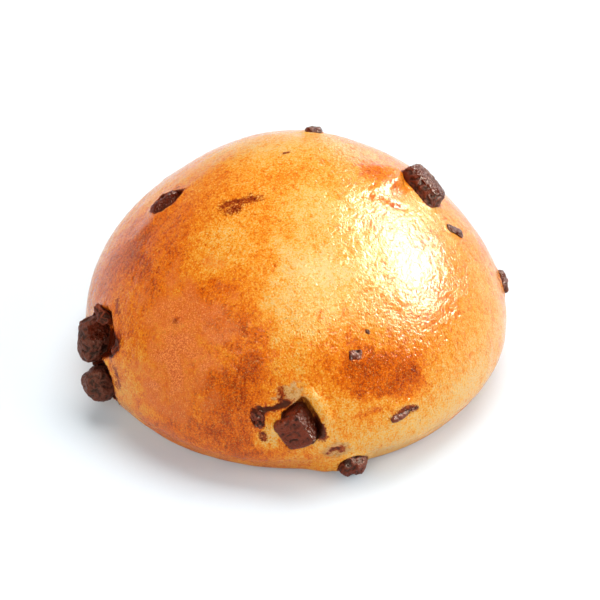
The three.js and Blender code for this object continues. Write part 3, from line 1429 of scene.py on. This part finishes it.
CHUNKS = [
    Chunk("chunk_front", RED, Melt.SHARP, shine=(0.5, -0.2, 0.85), shine_from=0.62, gap=0.1, voxel=0.2),
    Chunk("crumb_front_left", RED, Melt.RUNNY, gap=-0.5, stain_and_shade=1.1, voxel=0.18),
    Chunk("chunk_front_rim", RED, shine_from=MATTE, gap=0.3, lip=0.6, stain_and_shade=0.8, voxel=0.22),
    Chunk("chip_front_flat", RED, Melt.SHARP, shine_from=MATTE, gap=-0.1, dip=0.5, lip=0.0, stain_and_shade=0.0, torn=0.0,
          voxel=0.18),
    Chunk("chunk_front_slit", RED, shine_from=MATTE, gap=-0.6, lip=0.2, stain_and_shade=0.6),
    Chunk("chunk_left_upper", DULL, shine=(0.24, -0.67, 0.71), shine_from=0.90, beads=0.7,
          stain_and_shade=1.1, voxel=0.2),
    Chunk("chunk_left_lower", DULL, shine_from=MATTE, gap=0.0, stain_and_shade=0.9, voxel=0.22),
    Chunk("crumb_left_top", CRUMBLY, Melt.RUNNY, shine_from=MATTE, voxel=0.2),
    Chunk("crumb_left_inner", CRUMBLY, Melt.RUNNY, stain_and_shade=0.9, voxel=0.2),
    Chunk("chunk_upper_left", RED, Melt.RUNNY, shine=(0.3, -0.4, 0.85), shine_from=0.6, gap=-1.0, voxel=0.2),
    Chunk("chunk_upper_right", RED, shine=(0.6, 0.1, 0.8), shine_from=0.6, stain_and_shade=0.8, voxel=0.2),
    Chunk("chunk_crown_back", RED),
    Chunk("chip_right_flake", RED, Melt.SHARP, shine=(0.6, -0.3, 0.7), shine_from=0.6, dip=0.8, lip=0.1, gap=0.0,
          voxel=0.18),
    Chunk("chunk_right_side", RED),
    Chunk("chunk_back_right", DULL, Melt.SHARP, shine=(0.3, 0.4, 0.85)),
    Chunk("chunk_back_low", DULL, shine_from=MATTE),
    Chunk("chunk_back_high", RED),
    Chunk("chunk_back_left", DULL, Melt.SHARP, shine=(-0.3, 0.4, 0.85)),
    Chunk("chunk_back_slit", RED, gap=-0.8, lip=0.4, stain_and_shade=0.2),
    Chunk("chip_back_flake", RED, Melt.SHARP, dip=0.8, lip=0.1, gap=0.0),
    Chunk("chunk_base_right", DULL, Melt.SHARP, shine_from=MATTE, dip=1.2, lip=0.0),
    Chunk("chunk_base_left", DULL, Melt.SHARP, shine_from=MATTE, dip=1.2, lip=0.0),
]

BROWNING = [
    # The left side, which baked darkest, and the dull zone on it. Low on the front left the browning is deepened
    # further as painted shade.
    Patch(Mark.BAKE, 200, 46, 0.18, (15, 12)),
    Patch(Mark.BAKE, 188, 38, 0.12, (10, 14)),
    Patch(Mark.BAKE, 203, 33, 0.26, (20, 15), ragged=0.4),
    Patch(Mark.BAKE, 240, 39, 0.22, (9, 9), ragged=0.6),
    Patch(Mark.BAKE, 232, 50, -0.14, (9, 8)),
    Patch(Mark.BAKE, 249, 42, 0.12, (7, 10), turn=10, ragged=0.8),
    Patch(Mark.BAKE, 257, 34, 0.26, (5.5, 12), turn=-6, ragged=0.3),
    # partly painted shade: browned further where the lower front-left side is in shadow
    Patch(Mark.BAKE, 254, 22, 0.28, (10, 12), ragged=0.6),
    Patch(Mark.BAKE, 243, 10, 0.24, (20, 9), ragged=0.6),
    Patch(Mark.BAKE, 236, 24, 0.10, (14, 12)),
    Patch(Mark.DUSK, 232, 36, 0.75, (11, 12), ragged=1.0),
    Patch(Mark.DUSK, 236, 24, 0.6, (9, 10), ragged=1.0),
    # The middle, which stayed golden.
    Patch(Mark.BAKE, 272, 45, -0.26, (10, 13), ragged=0.6),
    Patch(Mark.BAKE, 289, 53, -0.20, (14, 14)),
    Patch(Mark.BAKE, 90, 61, -0.18, (18, 14)),
    Patch(Mark.BAKE, 305, 59, -0.16, (12, 9)),
    Patch(Mark.BAKE, 300, 45, -0.12, (14, 12)),
    # The brown zone low on the right, and the amber one round it.
    Patch(Mark.BAKE, 295, 28, 0.34, (11, 7), turn=-10, ragged=0.5),
    Patch(Mark.BAKE, 301, 24.5, 0.18, (6, 4.5), ragged=0.4),
    Patch(Mark.BAKE, 286, 31, 0.18, (9, 7), ragged=0.5),
    # The pale right edge and the pale stretch along the bottom.
    Patch(Mark.BAKE, 337, 22, -0.10, (22, 14)),
    Patch(Mark.BAKE, 300, 9, -0.18, (18, 7)),
    Patch(Mark.BAKE, 320, 13, -0.12, (16, 8)),
]

STAINS = [
    # The melted branch left of the front chunk, and the dark end of its pocket, which is painted shade.
    Stroke(*FRONT, ((-3.0, 10.8), (-3.6, 9.2), (-3.0, 7.6), (-4.4, 6.4)), width=0.8, depth=0.3, mark=Mark.MELT_AND_SHADE,
           amount=0.8),
    Stroke(*FRONT, ((-9.8, 5.4), (-8.4, 4.4), (-5.7, 4.7), (-2.8, 5.9), (-0.6, 7.2)), width=0.7, depth=0.6,
           mark=Mark.MELT_AND_SHADE, amount=1.3),
    Stroke(*FRONT, ((-9.9, 5.1), (-10.4, 2.4), (-9.2, 0.0)), width=0.8, depth=0.4, mark=Mark.MELT_AND_SHADE, amount=1.2),
    Stroke(*FRONT, ((-8.0, 4.4), (-7.8, 2.4), (-8.6, 0.6)), width=0.6, depth=0.3, mark=Mark.MELT_AND_SHADE, amount=1.0),
    Patch(Mark.MELT_AND_SHADE, 261.8, 15.3, 0.7, (1.1, 1.7), turn=20),
    # painted shade at the deep end of the front pocket
    Patch(Mark.MELT_AND_SHADE, 276.4, 16.8, 1.1, (1.5, 3.0), turn=15),
    Patch(Mark.BAKE, 262.5, 14.5, -0.35, (3.5, 4.0)),
    Patch(Mark.BAKE, 277.5, 14.0, -0.16, (4.0, 5.0)),
    # The scraped streak near the crown, and a short one beside it.
    Stroke(*STREAK, ((-5.2, -4.3), (-3.8, -2.1), (-0.9, 0.2), (1.3, 2.3), (4.7, 4.2)), width=1.5,
           depth=0.12, mark=Mark.MELT_AND_SHADE, amount=0.68),
    Stroke(*STREAK, ((-3.2, -5.0), (-1.0, -3.2), (1.6, -1.0)), width=0.9, mark=Mark.MELT_AND_SHADE, amount=0.6),
    Stroke(151.4, 61.8, ((1.0, 0.4), (0.0, 1.6), (-1.5, 2.4)), width=0.5, mark=Mark.MELT_AND_SHADE, amount=0.9),
    # Smears beside the left chunks.
    Stroke(206, 31, ((-3.0, 1.3), (-0.9, 0.8), (0.2, -0.7), (2.9, -0.8)), width=1.2, mark=Mark.MELT_AND_SHADE, amount=0.5),
    Stroke(213.6, 26.6, ((-2.6, 0.8), (0.0, 0.0), (0.8, -2.1), (0.4, -4.0)), width=1.0, mark=Mark.MELT_AND_SHADE, amount=0.6),
    Stroke(213.3, 17, ((-0.9, 1.7), (1.4, 0.9), (2.7, -1.3), (3.2, -4.0)), width=1.3, mark=Mark.MELT_AND_SHADE, amount=0.6),
    Patch(Mark.MELT_AND_SHADE, 230.9, 36.3, 0.42, (1.3, 1.3)),
    # Melted spots by the bottom chunk, by the diamond and in the brown zone.
    Patch(Mark.MELT_AND_SHADE, 279.6, 10.8, 0.7, (1.7, 0.9), turn=20),
    Patch(Mark.MELT_AND_SHADE, 281.8, 10.6, 0.75, (1.1, 1.5)),
    Patch(Mark.MELT_AND_SHADE, 278.2, 9.4, 0.6, (1.0, 0.7)),
    Patch(Mark.PALE, 280.5, 10.5, 0.9, (3.6, 3.0), turn=20),
    Patch(Mark.MELT_AND_SHADE, 175.6, 51.2, 0.5, (0.6, 1.1), turn=-30),
    Patch(Mark.MELT_AND_SHADE, 293.0, 37.1, 1.0, (0.9, 0.6), turn=-40),
    Patch(Mark.MELT_AND_SHADE, 297.0, 31.7, 0.8, (0.7, 0.5), turn=20),
    Patch(Mark.MELT_AND_SHADE, 303.8, 26.5, 0.8, (0.9, 0.6), turn=-30),
    Patch(Mark.MELT_AND_SHADE, 295.6, 54.9, 0.7, (0.6, 0.5)),
]

FORMS = [
    # The pocket torn open over the front chunk, its glossy rolled edge, painted paler as a highlight, and the pale
    # dough above.
    Tear(*FRONT, Hollow(
        ((-3.8, 3.8), (-1.9, 5.5), (0.2, 7.0), (1.7, 8.5), (3.2, 7.4), (4.5, 5.3), (5.8, 2.8), (6.6, 0.2),
         (6.5, -2.2), (4.9, -3.8), (1.0, -3.1), (-3.6, -0.8)),
        depth=3.6, wall=1.3, lip=0.35, lip_width=1.0, overhang=0.3, torn=0.7, melt=0.1)),
    # painted highlight: the rolled edge is browned less so that it shows pale
    Stroke(*FRONT, ((3.4, 9.4), (5.1, 7.3), (6.7, 4.8), (7.8, 2.4), (8.3, -0.2)), width=1.0,
           depth=-1.1, mark=Mark.BAKE, amount=-0.25),
    Patch(Mark.PALE, 268.8, 26.2, 0.75, (4.2, 2.8), turn=25, ragged=0.8),
    # The crust torn away beside the left chunks, and the flap left between them; their crevices are painted dark,
    # melted chocolate and painted shade.
    Tear(*LEFT, Hollow(
        ((-5.2, 6.5), (0.7, 10.9), (4.2, 11.3), (7.1, 9.3), (10.8, 7.8), (12.7, 7.2), (13.6, 5.6), (11.8, 2.8),
         (8.5, -0.2), (4.5, -2.6), (0.0, -3.2)),
        depth=2.6, wall=2.4, lip=0.3, lip_width=1.4, overhang=0.2, torn=0.2, melt=0.3)),
    # stain and painted shade in the crevice between the left chunks
    Patch(Mark.MELT_AND_SHADE, 204.5, 21.0, 0.8, (2.2, 4.0)),
    Patch(Mark.MELT_AND_SHADE, 210.6, 23.2, 1.2, (3.2, 3.2)),
    Patch(Mark.MELT_AND_SHADE, 207.0, 22.0, 1.0, (2.2, 4.0)),
    Stroke(*LEFT, ((6.2, 9.8), (7.8, 6.6), (8.8, 3.2), (7.6, 0.6)), width=1.0, depth=0.5, mark=Mark.MELT_AND_SHADE,
           amount=1.4),
    Tear(206.5, 12.0, Hollow(
        ((-6.0, 3.0), (-1.0, 5.4), (2.3, 6.0), (4.8, 5.0), (6.7, 3.2), (8.0, 1.0), (8.3, -1.5), (7.4, -5.5),
         (2.0, -8.5)),
        depth=2.4, wall=1.0, lip=0.5, lip_width=1.2, overhang=0.4, torn=0.4, melt=0.8)),
    # The dough that stands up over the upper right chunk's left end, the torn crumb under it, and painted shade in
    # the groove under its nose.
    Shelf(10, 49.4, ((-1.0, 19.2), (0.6, 15.2), (2.2, 10.9), (2.6, 7.4), (1.2, 5.6), (-1.8, 5.2), (-5.2, 5.8),
                     (-7.4, 7.3), (-9.2, 9.0), (-10.7, 10.8), (-12.2, 13.2), (-12.0, 16.6), (-7.6, 20.6)),
          rise=2.2, edge=3.2, steep=(-1.0, 5.0), level=(-5.0, 20.0)),
    # painted shade: the groove under the dough's nose is browned darker
    Stroke(*CREASE, ((-8.0, 4.4), (-7.2, 2.0), (-5.8, -0.4)), width=0.6, depth=0.8, mark=Mark.BAKE, amount=0.5),
    Patch(Mark.BAKE, 2, 55.8, 0.12, (6, 7)),
    Tear(*CREASE, Hollow(((-9.6, 11.6), (-8.0, 11.4), (-7.6, 9.6), (-9.0, 9.2)), depth=1.1, wall=0.6, lip=0.1,
                         torn=0.35)),
    Tear(*CREASE, Hollow(((-8.8, 7.6), (-7.2, 7.4), (-6.6, 5.4), (-8.2, 5.0)), depth=1.2, wall=0.6, lip=0.1,
                         torn=0.35)),
    Patch(Mark.BAKE, 350, 49.5, -0.25, (8, 5), turn=-30),
    # The dough that folds over the upper left chunk, and its pocket painted dark inside: stain and painted shade.
    Swell(189, 46.5, 0.5, (2.6, 7.0), turn=-4),
    Tear(184, 49, Hollow(
        ((-2.1, -5.5), (-5.4, -3.9), (-6.5, -1.2), (-4.0, 2.3), (-0.5, 6.7), (1.6, 4.5), (3.0, 2.2), (3.0, -1.1),
         (2.3, -3.1)),
        depth=2.0, wall=0.8, lip=0.3, overhang=0.3, torn=0.2, melt=0.8)),
    # The red-brown pimple on the left.
    Swell(230.9, 36.3, 0.6, (1.0, 1.0)),
    # The slit over the low right chunk, and the crease that runs into it.
    Stroke(298, 18, ((-3.8, 1.0), (-1.6, 1.4), (0.4, 1.7), (2.6, 2.0), (4.2, 2.1)), width=0.8, depth=-0.4),
    Patch(Mark.MELT_AND_SHADE, 298.9, 17.8, 0.7, (3.6, 1.1), turn=14),
    Stroke(290, 19, ((-4.4, 0.6), (-1.8, 0.5), (0.9, 1.0), (3.5, 0.9)), width=0.7, depth=0.2, lip=0.12,
           mark=Mark.BAKE, amount=0.3),
    # Where the dough bulges down beside the bottom chunk.
    Swell(279, 3.4, 1.7, (5.0, 3.6)),
    # Dimples and long folds in the dough.
    Stroke(263, 33, ((-0.1, 10.8), (-0.6, 7.9), (-0.8, 4.2), (0.0, 0.2), (0.7, -3.7), (0.6, -7.1)), width=0.8,
           depth=0.14, lip=0.10),
    Stroke(306, 56.8, ((-3.0, 8.3), (-1.0, 5.1), (0.9, 1.2), (0.9, -2.0)), width=0.9, depth=0.25, lip=0.12),
    Stroke(317, 30.7, ((0.2, 3.7), (0.5, 0.0), (0.6, -4.2), (0.2, -8.0)), width=0.9, depth=0.22, lip=0.15),
    Swell(270, 31.2, -0.35, (1.2, 1.6)),
    Swell(284, 46.6, -0.4, (5.0, 2.4), turn=-30),
]


def main() -> None:
    """Builds the bun, its chunks and the stage, and reports each piece."""
    logging.basicConfig(level=logging.INFO, format="%(name)s: %(message)s")
    noise.seed_set(NOISE_SEED)
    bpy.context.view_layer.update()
    effects = Effects()
    finishes = {
        DULL: ChocolateFinish(effects, DULL, (0.028, 0.006, 0.003), (0.125, 0.028, 0.014)).build(),
        RED: ChocolateFinish(effects, RED, (0.030, 0.003, 0.001), (0.15, 0.015, 0.002)).build(),
        CRUMBLY: ChocolateFinish(effects, CRUMBLY, (0.03, 0.004, 0.001), (0.17, 0.022, 0.005), pits=0.6).build(),
    }
    skin = Skin.of_node("bun")
    bun = Bun(skin, CHUNKS, BROWNING + STAINS + FORMS).build(CrustFinish(effects).build())
    LOG.info("%s: %d points", bun.name, len(bun.data.vertices))
    for chunk in CHUNKS:
        piece = chunk.build(finishes)
        LOG.info("%s: %d points", piece.name, len(piece.data.vertices))
    Studio().build()
    bpy.context.view_layer.update()


if __name__ == "__main__":
    main()
